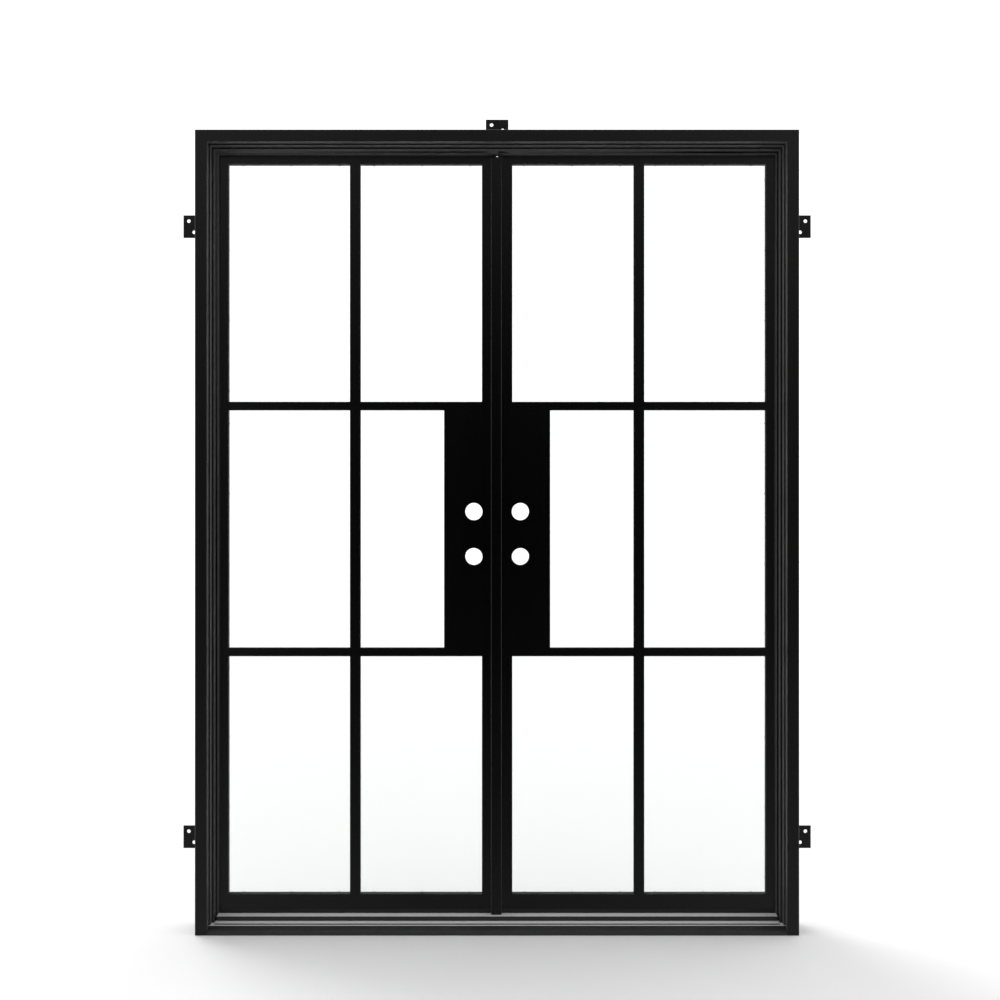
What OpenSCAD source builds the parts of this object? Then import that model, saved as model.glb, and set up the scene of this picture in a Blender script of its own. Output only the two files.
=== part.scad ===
// Pair of glazed steel french doors, hung in their own welded steel frame.
// Millimetres, +Z up. The origin is on the underside of the sill, at the middle
// of the frame's width and depth. The outside of the building is towards -Y, and
// both leaves swing inward, towards +Y. The right leaf opens first: the left one
// carries the astragal that laps over it, and the flush bolts.

/* [Frame] */
// Overall width of the frame
frame_w = 1828.8; // [1500:0.1:2200]
// Overall height of the frame
frame_h = 2438.4; // [2030:0.1:2930]
// Depth of the frame from front to back
frame_d = 152.4; // [150:0.1:200]
// Width of the jambs and head on the front face
face_w = 36.6; // [35:0.1:50]
// Inward step from the front face to the second reveal
first_lip = 4.8; // [4.5:0.1:8]
// Inward step from the second reveal to the third
second_lip = 6.1; // [4.5:0.1:8]
// Inward step from the third reveal to the stop
third_lip = 6.7; // [4.5:0.1:8]
// Depth of each of the three reveals in front of the stop
reveal_d = 26.5; // [20:0.1:27]
// Width of the jambs and head behind the stop, where the leaf sits
rebate_w = 33.2; // [25:0.1:34]
// Wall of the folded steel sections
wall_t = 2; // [1.5:0.1:3]

/* [Sill] */
// Height of the nose along the sill's front edge
nose_h = 6.3; // [3:0.1:10]
// Depth of the sloped front of the sill
slope_d = 20; // [12:0.1:26]
// Height of the sill base behind its slope
base_h = 23.9; // [18:0.1:40]
// Depth of the ledge between the slope and the first tread
ledge_d = 11.6; // [5:0.1:20]
// Rise of the first tread above the base
tread_rise = 3.4; // [3:0.1:10]
// Depth of the first tread
tread_d = 27.9; // [20:0.1:35]
// Rise of the weather stop above the first tread
stop_rise = 14.1; // [8:0.1:25]
// Wall of the sill extrusions
sill_wall = 2.5; // [2:0.1:3]
// Gap between the ends of the sill and the jambs
sill_fit = 0.2; // [0:0.05:1]

/* [Leaves] */
// Thickness of a leaf
leaf_t = 50.8; // [46:0.1:54]
// Gap between the two leaves
leaf_gap = 5; // [4.6:0.1:8]
// Gap between a leaf's hinge edge and the jamb
hinge_gap = 3; // [2:0.1:5]
// Gap between the top of a leaf and the head
head_gap = 3; // [2.5:0.1:6]
// Gap between the bottom of a leaf and the sill base
sill_gap = 4.6; // [3:0.1:10]
// Face width of the hinge stile
hinge_stile_w = 47.3; // [40:0.1:80]
// Face width of the meeting stile
meeting_stile_w = 44.45; // [40:0.05:70]
// Height of the top rail
top_rail_h = 46.2; // [40:0.1:90]
// Height of the bottom rail
bottom_rail_h = 70.6; // [50:0.1:250]
// Face width of the upright glazing bar
upright_bar_w = 32.6; // [30:0.1:50]
// Face height of the cross glazing bars
cross_bar_h = 26.4; // [25:0.1:45]
// Height of the middle row of panes, and of the lock box beside it
middle_row_h = 734.6; // [400:0.1:900]
// Thickness of the steel face that laps over the edge of the glass
face_t = 4; // [3:0.1:5]
// Wall of the leaf's square tubes
tube_wall = 2; // [1.5:0.1:3]

/* [Glazing] */
// How far the steel faces lap over the glass pocket
lap = 10; // [9:0.1:12]
// Thickness of one pane
pane_t = 5; // [4:0.1:6]
// Space between the two panes of a sealed unit
pane_gap = 14; // [8:0.1:16]
// Gap between the edge of a sealed unit and the steel around it
edge_gap = 3; // [2:0.1:4]
// Thickness of the gaskets on both faces of a sealed unit
gasket_t = 2; // [1.5:0.1:3]
// Width of the spacer bar inside a sealed unit
spacer_w = 6; // [5:0.1:6]
// Width of the glazing beads
bead_w = 4; // [3.5:0.1:5]

/* [Lock] */
// Width of the lock box, from the meeting stile to the glass
lock_box_w = 117.1; // [105:0.1:160]
// Distance from the edge of a leaf to the middle of its lock bores
backset = 69.85; // [60:0.05:75]
// Diameter of the lock bores
bore_d = 53.975; // [40:0.005:56]
// Distance between the upper and the lower lock bore
bore_spacing = 139.7; // [120:0.1:200]
// How far the middle of the two bores lies below the middle of the lock box
bore_drop = 16; // [0:0.1:60]
// Diameter of the latch bores in the edge of a leaf
latch_d = 25.4; // [20:0.1:30]

/* [Astragal and seals] */
// Width of the astragal
astragal_w = 32.5; // [28:0.1:40]
// How far the astragal reaches over the right leaf, from the middle of the gap
astragal_lap = 13.8; // [12:0.1:18]
// How far the astragal stands out from the leaves
astragal_t = 28.6; // [20:0.1:30]
// Gap between the top of the astragal and the head's stop
astragal_top_gap = 11.8; // [5:0.1:30]
// Gap between the bottom of the astragal and the sill's stop
astragal_sill_gap = 1; // [0.5:0.1:5]
// Space between the stops and the leaves, where the seals sit
seal_gap = 3.8; // [3:0.1:6]
// Clearance between a seal and the leaf that closes on it
seal_clear = 0.3; // [0.2:0.05:1]
// Width of the seal that is held behind a stop
seal_root = 8; // [5:0.1:12]
// Width of the seal that shows past the edge of a stop
seal_show = 4.2; // [2:0.1:6]

/* [Hinges] */
// Hinges on each leaf
hinge_count = 4; // [2:1:5]
// Distance from the ends of a leaf to the middle of its end hinges
hinge_inset = 230; // [150:1:300]
// Outer diameter of a hinge barrel
barrel_d = 22; // [20:0.1:26]
// Length of each half of a hinge barrel
barrel_h = 60; // [45:0.1:80]
// Diameter of a hinge pin
pin_d = 12; // [10:0.1:14]
// Radial running clearance around a hinge pin
pin_clear = 0.05; // [0.02:0.01:0.1]
// Thickness of the bearing washer between the barrel's halves
washer_t = 1.5; // [1:0.1:3]
// Gap between a barrel and the steel behind it
barrel_gap = 0.3; // [0.2:0.05:1]
// Width of the welded hinge plates, from the axis
hinge_plate_w = 28; // [22:0.1:30]
// Thickness of the welded hinge plates
hinge_plate_t = 3; // [2:0.1:5]

/* [Flush bolts] */
// Diameter of a bolt rod
rod_d = 12; // [8:0.1:14]
// Length of a bolt rod
rod_len = 300; // [200:1:400]
// Travel of a bolt
bolt_travel = 19; // [12:0.1:22]
// How far a drawn bolt sits inside the end of the leaf
bolt_inset = 2; // [1:0.1:4]
// Diametral clearance of a bolt in its strike and in the end of the leaf
strike_clear = 2; // [1:0.1:3]
// Thickness of the strike plates
strike_t = 1.5; // [1:0.1:2]

/* [Mounting tabs] */
// Width of a mounting tab
tab_w = 70; // [60:0.1:100]
// How far a tab stands out from the frame
tab_out = 57.2; // [50:0.1:80]
// Thickness of a tab
tab_t = 5; // [3:0.1:8]
// Distance from the front of the frame to the front of the tabs
tab_depth = 108; // [60:0.1:130]
// Distance from the top and the bottom of the frame to the middle of the side tabs
tab_inset = 274.2; // [150:0.1:600]
// Diameter of the holes in the tabs
tab_hole_d = 11.2; // [8:0.1:14]
// Distance from the frame to the inner hole of a tab
tab_hole_in = 24.1; // [18:0.1:30]
// Distance from the frame to the outer hole of a tab
tab_hole_out = 40.6; // [32:0.1:42]
// Distance between a tab's two holes, along the frame
tab_hole_step = 34.4; // [25:0.1:45]

/* [Hidden] */
$fn = 48;

paint = "#1b1b1d";
rubber = "#0c0c0d";
aluminium = "#8f9193";
glass = [0.80, 0.90, 0.87, 0.25];
steel = "#8b8d90";
bronze = "#a8814a";

left = -1;
right = 1;
reach = 1; // how far a cutting shape runs past the surface that it cuts

half_w = frame_w / 2;
front_y = -frame_d / 2;
back_y = frame_d / 2;
leaf_front = back_y - leaf_t;
stop_back = leaf_front - seal_gap;
second_w = face_w + first_lip;
third_w = second_w + second_lip;
stop_w = third_w + third_lip;

// Sill levels and depths
slope_y = front_y + slope_d;
tread_y = slope_y + ledge_d;
rise_y = tread_y + tread_d;
tread_h = base_h + tread_rise;
sill_top = tread_h + stop_rise;
sill_cells = 4;

// One leaf, as x and z of the right one
leaf_in = leaf_gap / 2;
leaf_out = half_w - rebate_w - hinge_gap;
leaf_top = frame_h - rebate_w - head_gap;
leaf_bottom = base_h + sill_gap;
glass_in = leaf_in + meeting_stile_w;
glass_out = leaf_out - hinge_stile_w;
glass_top = leaf_top - top_rail_h;
glass_bottom = leaf_bottom + bottom_rail_h;
bar_in = (glass_in + glass_out - upright_bar_w) / 2;
bar_out = bar_in + upright_bar_w;
middle_z = (glass_top + glass_bottom) / 2;
row_low = middle_z - middle_row_h / 2;
row_high = middle_z + middle_row_h / 2;
lock_out = glass_in + lock_box_w;
tube_front = leaf_front + face_t;

// Every pane's clear opening, as [low x, high x, low z, high z]
rows = [[glass_bottom, row_low - cross_bar_h], [row_low, row_high],
        [row_high + cross_bar_h, glass_top]];
openings = [
    for (r = [0:2]) [r == 1 ? lock_out : glass_in, bar_in, rows[r][0], rows[r][1]],
    for (r = [0:2]) [bar_out, glass_out, rows[r][0], rows[r][1]]];

// Depths in the glazing pocket, from the lapping face inwards
unit_front = tube_front + gasket_t;
inner_pane_y = unit_front + pane_t + pane_gap;
unit_back = inner_pane_y + pane_t;
bead_front = unit_back + gasket_t;
block_len = 60;

bore_x = leaf_in + backset;
bore_z = [middle_z - bore_drop - bore_spacing / 2, middle_z - bore_drop + bore_spacing / 2];
leaf_mid = leaf_front + leaf_t / 2;

hinge_x = leaf_out + hinge_gap / 2;
hinge_y = back_y + barrel_gap + barrel_d / 2;
hinge_first = leaf_bottom + hinge_inset;
hinge_pitch = (leaf_top - leaf_bottom - 2 * hinge_inset) / (hinge_count - 1);
pin_sink = 10;  // steel left under the pin
pin_space = 2;  // air above the pin
barrel_chamfer = 3;

bolt_x = leaf_in + (meeting_stile_w - lap) / 2;
bolt_y = (tube_front + back_y - tube_wall) / 2;
thumb_d = 8;
guide_t = 3;
guide_fit = 0.1;
guide_ends = [40, 240];  // from the end of the leaf to the near face of each guide
thumb_at = 140;          // from the end of the leaf to the drawn thumb stub
strike_w = 30;
strike_len = 70;

astragal_front = leaf_front - astragal_t;
astragal_z = [sill_top + astragal_sill_gap, frame_h - stop_w - astragal_top_gap];
lap_gap = 2.5; // between the back of the astragal and the right leaf
strip_w = 14;  // welding strip along the astragal's back
seal_w = 8;    // seal on the astragal's back

module box(low, high) { translate(low) cube(high - low); }

// What is modelled on the right, or its mirror image on the left
module sided(side) {
    if (side < 0) mirror([1, 0, 0]) children();
    else children();
}

// A flat ring around the opening o: grown by outer_by outside and by inner_by inside
module ring(o, outer_by, inner_by, y0, y1) {
    difference() {
        box([o[0] - outer_by, y0, o[2] - outer_by], [o[1] + outer_by, y1, o[3] + outer_by]);
        box([o[0] - inner_by, y0 - reach, o[2] - inner_by],
            [o[1] + inner_by, y1 + reach, o[3] + inner_by]);
    }
}

// ---- Frame ----

// The folded section, as [distance in from the outer edge, y], drawn in by i on every face
function section(i) = [
    [i, front_y + i],
    [face_w - i, front_y + i],
    [face_w - i, front_y + reveal_d + i],
    [second_w - i, front_y + reveal_d + i],
    [second_w - i, front_y + 2 * reveal_d + i],
    [third_w - i, front_y + 2 * reveal_d + i],
    [third_w - i, front_y + 3 * reveal_d + i],
    [stop_w - i, front_y + 3 * reveal_d + i],
    [stop_w - i, stop_back - i],
    [rebate_w - i, stop_back - i],
    [rebate_w - i, back_y - i],
    [i, back_y - i]];

module section_bar(length) {
    linear_extrude(length) difference() {
        polygon(section(0));
        polygon(section(wall_t));
    }
}

// Cuts the corner between a jamb and the head at 45 degrees. keep_jamb is true for the jamb's cut.
module mitre_cut(keep_jamb) {
    s = stop_w + reach;
    other = keep_jamb ? [s, reach] : [-reach, -s];
    translate([0, back_y + reach, frame_h]) rotate([90, 0, 0])
        linear_extrude(frame_d + 2 * reach) polygon([[-reach, reach], [s, -s], other]);
}

module jamb(side) {
    color(paint) sided(-side) translate([-half_w, 0, 0]) difference() {
        section_bar(frame_h);
        mitre_cut(true);
    }
}

module left_jamb() { jamb(left); }
module right_jamb() { jamb(right); }

module head() {
    color(paint) difference() {
        translate([-half_w, 0, frame_h]) rotate([0, 90, 0]) section_bar(frame_w);
        for (side = [left, right]) sided(side) translate([-half_w, 0, 0]) mitre_cut(false);
        translate([-bolt_x, bolt_y, leaf_top]) cylinder(h = rebate_w, d = rod_d + strike_clear);
    }
}

module along_x(half_length) {
    translate([-half_length, 0, 0]) rotate([90, 0, 90]) linear_extrude(2 * half_length) children();
}

module sill_base() {
    cell_w = (back_y - slope_y - sill_wall) / sill_cells;
    color(aluminium) difference() {
        along_x(half_w - rebate_w - sill_fit) difference() {
            polygon([[front_y, 0], [front_y, nose_h], [slope_y, base_h], [back_y, base_h],
                     [back_y, 0]]);
            for (i = [0:sill_cells - 1]) translate([slope_y + i * cell_w, sill_wall])
                square([cell_w - sill_wall, base_h - 2 * sill_wall]);
        }
        for (side = [left, right]) sided(side) translate([-half_w, 0, -reach])
            linear_extrude(base_h + 2 * reach) polygon(section(-sill_fit));
        translate([-bolt_x, bolt_y, base_h / 2]) cylinder(h = base_h, d = rod_d + strike_clear);
    }
}

module sill_cap() {
    color(aluminium) along_x(half_w - stop_w - sill_fit) difference() {
        polygon([[tread_y, base_h], [tread_y, tread_h], [rise_y, tread_h], [rise_y, sill_top],
                 [stop_back, sill_top], [stop_back, base_h]]);
        translate([rise_y + sill_wall, base_h + sill_wall])
            square([stop_back - rise_y - 2 * sill_wall, sill_top - base_h - 2 * sill_wall]);
    }
}

// A tab standing out along +X from x = 0, with its outer hole uppermost
module tab() {
    color(paint) difference() {
        box([0, front_y + tab_depth, -tab_w / 2], [tab_out, front_y + tab_depth + tab_t, tab_w / 2]);
        for (hole = [[tab_hole_out, tab_hole_step / 2], [tab_hole_in, -tab_hole_step / 2]])
            translate([hole[0], front_y + tab_depth - reach, hole[1]]) rotate([-90, 0, 0])
                cylinder(h = tab_t + 2 * reach, d = tab_hole_d);
    }
}

module side_tab(side, z) { sided(side) translate([half_w, 0, z]) tab(); }
module left_upper_tab() { side_tab(left, frame_h - tab_inset); }
module left_lower_tab() { side_tab(left, tab_inset); }
module right_upper_tab() { side_tab(right, frame_h - tab_inset); }
module right_lower_tab() { side_tab(right, tab_inset); }
module head_tab() { translate([0, 0, frame_h]) rotate([0, -90, 0]) tab(); }

module jamb_seal(side) {
    color(rubber) sided(side)
        box([half_w - stop_w - seal_show, stop_back, base_h],
            [half_w - stop_w + seal_root, leaf_front - seal_clear, frame_h - stop_w - seal_show]);
}

module left_jamb_seal() { jamb_seal(left); }
module right_jamb_seal() { jamb_seal(right); }

module head_seal() {
    half = half_w - stop_w + seal_root;
    color(rubber) box([-half, stop_back, frame_h - stop_w - seal_show],
                      [half, leaf_front - seal_clear, frame_h - stop_w + seal_root]);
}

module sill_seal() {
    half = half_w - stop_w - seal_show;
    color(rubber) box([-half, stop_back, sill_top - seal_root - seal_show],
                      [half, leaf_front - seal_clear, sill_top - seal_show]);
}

module strike(z) {
    color(steel) translate([-bolt_x, bolt_y, z]) difference() {
        translate([-strike_len / 2, -strike_w / 2, 0]) cube([strike_len, strike_w, strike_t]);
        translate([0, 0, -reach]) cylinder(h = strike_t + 2 * reach, d = rod_d + strike_clear);
    }
}

module head_strike() { strike(frame_h - rebate_w - strike_t); }
module sill_strike() { strike(base_h); }

// ---- Hinges ----

module at_hinges(side) {
    sided(side) for (i = [0:hinge_count - 1])
        translate([hinge_x, hinge_y, hinge_first + i * hinge_pitch]) children();
}

// Half a barrel standing on z = 0, chamfered at its far end and drilled from its near end
module barrel_half(hole_d) {
    difference() {
        union() {
            cylinder(h = barrel_h - barrel_chamfer, d = barrel_d);
            translate([0, 0, barrel_h - barrel_chamfer])
                cylinder(h = barrel_chamfer, d1 = barrel_d, d2 = barrel_d - 2 * barrel_chamfer);
        }
        translate([0, 0, -reach]) cylinder(h = barrel_h - pin_sink + reach, d = hole_d);
    }
}

// The welding plate beside a barrel, reaching from the axis towards +X
module hinge_plate(hole_d) {
    difference() {
        translate([0, back_y - hinge_y, 0]) cube([hinge_plate_w, hinge_plate_t, barrel_h]);
        translate([0, 0, -reach]) cylinder(h = barrel_h + 2 * reach, d = hole_d);
    }
}

module frame_knuckles(side) {
    color(paint) at_hinges(side) mirror([0, 0, 1]) translate([0, 0, washer_t / 2]) {
        barrel_half(pin_d);
        hinge_plate(pin_d);
    }
}

module leaf_knuckles(side) {
    color(paint) at_hinges(side) translate([0, 0, washer_t / 2]) {
        barrel_half(pin_d + 2 * pin_clear);
        mirror([1, 0, 0]) hinge_plate(pin_d + 2 * pin_clear);
    }
}

module hinge_pins(side) {
    depth = barrel_h - pin_sink;
    color(steel) at_hinges(side) translate([0, 0, -washer_t / 2 - depth])
        cylinder(h = 2 * depth + washer_t - pin_space, d = pin_d);
}

module hinge_washers(side) {
    color(bronze) at_hinges(side) translate([0, 0, -washer_t / 2]) difference() {
        cylinder(h = washer_t, d = barrel_d - 1);
        translate([0, 0, -reach]) cylinder(h = washer_t + 2 * reach, d = pin_d + 2 * pin_clear);
    }
}

module left_frame_knuckles() { frame_knuckles(left); }
module right_frame_knuckles() { frame_knuckles(right); }
module left_leaf_knuckles() { leaf_knuckles(left); }
module right_leaf_knuckles() { leaf_knuckles(right); }
module left_hinge_pins() { hinge_pins(left); }
module right_hinge_pins() { hinge_pins(right); }
module left_hinge_washers() { hinge_washers(left); }
module right_hinge_washers() { hinge_washers(right); }

// ---- Leaf steelwork ----

// A stile: a lapping face from x0 to x1, and a capped tube behind it from t0 to t1
module stile(x0, x1, t0, t1) {
    box([x0, leaf_front, leaf_bottom], [x1, tube_front, leaf_top]);
    difference() {
        box([t0, tube_front, leaf_bottom], [t1, back_y, leaf_top]);
        box([t0 + tube_wall, tube_front, leaf_bottom + tube_wall],
            [t1 - tube_wall, back_y - tube_wall, leaf_top - tube_wall]);
    }
}

// A rail between the stiles: a lapping face from z0 to z1, and a tube behind it from t0 to t1
module rail(z0, z1, t0, t1) {
    box([glass_in, leaf_front, z0], [glass_out, tube_front, z1]);
    difference() {
        box([glass_in - lap, tube_front, t0], [glass_out + lap, back_y, t1]);
        box([glass_in - lap - reach, tube_front, t0 + tube_wall],
            [glass_out + lap + reach, back_y - tube_wall, t1 - tube_wall]);
    }
}

// Drills the latch bores through the edge of a leaf and into its lock box
module latch_bores() {
    for (z = bore_z) translate([leaf_in - reach, leaf_mid, z]) rotate([0, 90, 0])
        cylinder(h = bore_x - leaf_in, d = latch_d);
}

// Drills the lock bores through the faces of a leaf
module lock_bores() {
    for (z = bore_z) translate([bore_x, leaf_front - reach, z]) rotate([-90, 0, 0])
        cylinder(h = leaf_t + 2 * reach, d = bore_d);
}

module hinge_stile(side) {
    color(paint) sided(side) stile(glass_out, leaf_out, glass_out + lap, leaf_out);
}

module meeting_stile() {
    difference() {
        stile(leaf_in, glass_in, leaf_in, glass_in - lap);
        latch_bores();
        lock_bores();
    }
}

module top_rail(side) {
    color(paint) sided(side) rail(glass_top, leaf_top, glass_top + lap, leaf_top);
}

module bottom_rail(side) {
    color(paint) sided(side) rail(leaf_bottom, glass_bottom, leaf_bottom, glass_bottom - lap);
}

module upright_bar(side) {
    color(paint) sided(side) {
        box([bar_in, leaf_front, glass_bottom], [bar_out, tube_front, glass_top]);
        difference() {
            box([bar_in + lap, tube_front, glass_bottom - lap],
                [bar_out - lap, back_y, glass_top + lap]);
            box([bar_in + lap + tube_wall, tube_front, glass_bottom - lap - reach],
                [bar_out - lap - tube_wall, back_y - tube_wall, glass_top + lap + reach]);
        }
    }
}

// A cross bar in two lengths, either side of the upright bar, with its face from z0 upwards
module cross_bar(side, z0) {
    color(paint) sided(side) for (span = [[glass_in, bar_in], [bar_out, glass_out]]) {
        box([span[0], leaf_front, z0], [span[1], tube_front, z0 + cross_bar_h]);
        box([span[0] - lap, tube_front, z0 + lap], [span[1] + lap, back_y, z0 + cross_bar_h - lap]);
    }
}

module lock_box(side) {
    color(paint) sided(side) difference() {
        union() {
            box([glass_in, leaf_front, row_low], [lock_out, tube_front, row_high]);
            box([glass_in - lap, tube_front, row_low - lap], [lock_out - lap, back_y, row_high + lap]);
        }
        box([glass_in - lap + tube_wall, tube_front, row_low - lap + tube_wall],
            [lock_out - lap - tube_wall, back_y - tube_wall, row_high + lap - tube_wall]);
        lock_bores();
        latch_bores();
    }
}

module sweep(side) {
    half_t = 3;
    color(rubber) sided(side)
        box([leaf_in + strike_len, leaf_mid - half_t, base_h + seal_clear],
            [leaf_out - seal_show, leaf_mid + half_t, leaf_bottom]);
}

module left_hinge_stile() { hinge_stile(left); }
module right_hinge_stile() { hinge_stile(right); }
module right_meeting_stile() { color(paint) meeting_stile(); }
module left_top_rail() { top_rail(left); }
module right_top_rail() { top_rail(right); }
module left_bottom_rail() { bottom_rail(left); }
module right_bottom_rail() { bottom_rail(right); }
module left_upright_bar() { upright_bar(left); }
module right_upright_bar() { upright_bar(right); }
module left_upper_cross_bar() { cross_bar(left, row_high); }
module right_upper_cross_bar() { cross_bar(right, row_high); }
module left_lower_cross_bar() { cross_bar(left, row_low - cross_bar_h); }
module right_lower_cross_bar() { cross_bar(right, row_low - cross_bar_h); }
module left_lock_box() { lock_box(left); }
module right_lock_box() { lock_box(right); }
module left_sweep() { sweep(left); }
module right_sweep() { sweep(right); }

// ---- Glazing ----

module panes(side, y) {
    grow = lap - edge_gap;
    color(glass) sided(side) for (o = openings)
        box([o[0] - grow, y, o[2] - grow], [o[1] + grow, y + pane_t, o[3] + grow]);
}

module spacers(side) {
    grow = lap - edge_gap;
    color(rubber) sided(side) for (o = openings)
        ring(o, grow, grow - spacer_w, unit_front + pane_t, inner_pane_y);
}

// Two blocks under each sealed unit, which carry its weight
module setting_blocks(side) {
    color(rubber) sided(side) for (o = openings) for (x = [o[0], o[1] - block_len])
        box([x, unit_front, o[2] - lap], [x + block_len, unit_back, o[2] - lap + edge_gap]);
}

module gaskets(side) {
    grow = lap - edge_gap;
    color(rubber) sided(side) for (o = openings) {
        ring(o, grow, 1, tube_front, unit_front);
        ring(o, grow, lap - bead_w, unit_back, bead_front);
    }
}

// Four beads around each opening, on the inside of the building
module beads(side) {
    outer = lap;
    inner = lap - bead_w;
    color(paint) sided(side) for (o = openings) {
        for (z = [o[2] - outer, o[3] + inner])
            box([o[0] - outer, bead_front, z], [o[1] + outer, back_y, z + bead_w]);
        for (x = [o[0] - outer, o[1] + inner])
            box([x, bead_front, o[2] - inner], [x + bead_w, back_y, o[3] + inner]);
    }
}

module left_outer_panes() { panes(left, unit_front); }
module right_outer_panes() { panes(right, unit_front); }
module left_inner_panes() { panes(left, inner_pane_y); }
module right_inner_panes() { panes(right, inner_pane_y); }
module left_spacers() { spacers(left); }
module right_spacers() { spacers(right); }
module left_setting_blocks() { setting_blocks(left); }
module right_setting_blocks() { setting_blocks(right); }
module left_gaskets() { gaskets(left); }
module right_gaskets() { gaskets(right); }
module left_beads() { beads(left); }
module right_beads() { beads(right); }

// ---- Left leaf's astragal and flush bolts ----

module astragal() {
    x0 = astragal_lap - astragal_w;
    back = leaf_front - lap_gap;
    color(paint) {
        difference() {
            box([x0, astragal_front, astragal_z[0]], [astragal_lap, back, astragal_z[1]]);
            box([x0 + tube_wall, astragal_front + tube_wall, astragal_z[0] + tube_wall],
                [astragal_lap - tube_wall, back - tube_wall, astragal_z[1] - tube_wall]);
        }
        box([x0, back, astragal_z[0]], [x0 + strip_w, leaf_front, astragal_z[1]]);
    }
}

module astragal_seal() {
    color(rubber) box([astragal_lap - seal_w - 1, leaf_front - lap_gap, astragal_z[0]],
                      [astragal_lap - 1, leaf_front - seal_clear, astragal_z[1]]);
}

// Places a flush bolt's piece for the top of the left leaf, or its mirror image for the bottom
module at_leaf_end(top) {
    if (top) translate([-bolt_x, bolt_y, leaf_top]) children();
    else translate([-bolt_x, bolt_y, leaf_bottom]) mirror([0, 0, 1]) children();
}

// The hole in the leaf's end, and the slot in its edge where the thumb stub travels
module bolt_cut(top) {
    slot_w = thumb_d + 2 * guide_fit + 1;
    at_leaf_end(top) {
        translate([0, 0, -tube_wall - reach])
            cylinder(h = tube_wall + 2 * reach, d = rod_d + strike_clear);
        translate([0, -slot_w / 2, -thumb_at - slot_w / 2])
            cube([bolt_x, slot_w, bolt_travel + slot_w]);
    }
}

module left_meeting_stile() {
    color(paint) difference() {
        sided(left) meeting_stile();
        bolt_cut(true);
        bolt_cut(false);
    }
}

module bolt_guides() {
    half = (meeting_stile_w - lap) / 2 - tube_wall - guide_fit;
    depth = back_y - tube_wall - tube_front - 2 * guide_fit;
    color(steel) for (top = [true, false]) at_leaf_end(top) for (z = guide_ends)
        translate([0, 0, -z - guide_t]) difference() {
            translate([-half, -depth / 2, 0]) cube([2 * half, depth, guide_t]);
            translate([0, 0, -reach]) cylinder(h = guide_t + 2 * reach, d = rod_d + 2 * guide_fit);
        }
}

// A rod with a thumb stub that reaches just inside the leaf's edge
module bolt(top) {
    color(steel) at_leaf_end(top) {
        translate([0, 0, -bolt_inset - rod_len]) cylinder(h = rod_len, d = rod_d);
        translate([0, 0, -thumb_at]) rotate([0, 90, 0])
            cylinder(h = bolt_x - leaf_in - 0.5, d = thumb_d);
    }
}

module upper_bolt() { bolt(true); }
module lower_bolt() { bolt(false); }

left_jamb();
right_jamb();
head();
sill_base();
sill_cap();
left_upper_tab();
left_lower_tab();
right_upper_tab();
right_lower_tab();
head_tab();
left_jamb_seal();
right_jamb_seal();
head_seal();
sill_seal();
left_frame_knuckles();
right_frame_knuckles();
left_hinge_pins();
right_hinge_pins();
left_hinge_washers();
right_hinge_washers();
head_strike();
sill_strike();
left_hinge_stile();
left_meeting_stile();
left_top_rail();
left_bottom_rail();
left_upright_bar();
left_upper_cross_bar();
left_lower_cross_bar();
left_lock_box();
left_outer_panes();
left_inner_panes();
left_spacers();
left_setting_blocks();
left_gaskets();
left_beads();
left_leaf_knuckles();
left_sweep();
astragal();
astragal_seal();
bolt_guides();
upper_bolt();
lower_bolt();
right_hinge_stile();
right_meeting_stile();
right_top_rail();
right_bottom_rail();
right_upright_bar();
right_upper_cross_bar();
right_lower_cross_bar();
right_lock_box();
right_outer_panes();
right_inner_panes();
right_spacers();
right_setting_blocks();
right_gaskets();
right_beads();
right_leaf_knuckles();
right_sweep();
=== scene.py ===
"""The looks of a pair of glazed steel french doors, hung in their own stepped steel frame.

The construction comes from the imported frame. This file welds and rounds its steelwork, adds the pieces
that only the eye needs, such as screws and weld beads, gives every surface its finish, and lights it.
"""
import logging
import math
from dataclasses import dataclass
from enum import Enum
from typing import Callable, Dict, List, Optional, Sequence, Tuple, Union

import bmesh
import bpy
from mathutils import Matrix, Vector


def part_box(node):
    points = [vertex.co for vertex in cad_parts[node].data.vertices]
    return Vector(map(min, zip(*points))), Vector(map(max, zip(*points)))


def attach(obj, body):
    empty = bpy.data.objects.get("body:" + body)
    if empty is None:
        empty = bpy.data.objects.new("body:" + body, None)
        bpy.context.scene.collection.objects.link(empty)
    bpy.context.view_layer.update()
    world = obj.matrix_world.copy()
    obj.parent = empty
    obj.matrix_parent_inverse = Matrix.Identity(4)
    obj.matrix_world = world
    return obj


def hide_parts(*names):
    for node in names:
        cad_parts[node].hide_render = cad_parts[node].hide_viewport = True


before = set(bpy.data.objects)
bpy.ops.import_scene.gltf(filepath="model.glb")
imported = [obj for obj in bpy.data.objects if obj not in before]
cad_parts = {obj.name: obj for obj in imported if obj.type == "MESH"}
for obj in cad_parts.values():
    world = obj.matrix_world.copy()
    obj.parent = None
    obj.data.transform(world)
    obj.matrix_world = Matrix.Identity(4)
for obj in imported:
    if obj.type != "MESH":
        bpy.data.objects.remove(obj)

LOG = logging.getLogger("french_doors")
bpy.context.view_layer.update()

MM = 0.001
TINY = 0.0001
SEW_GAP = 0.00001
FLAT_ANGLE = math.radians(0.5)
CORNER_ANGLE = math.radians(50.0)
SMOOTH_ANGLE = math.radians(46.0)
Number = Union[int, float]
Colour = Tuple[float, float, float, float]
Point = Tuple[float, float, float]

WHITE: Colour = (1.0, 1.0, 1.0, 1.0)
BLACK: Colour = (0.0, 0.0, 0.0, 1.0)


# ---------------------------------------------------------------- shader maths


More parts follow.
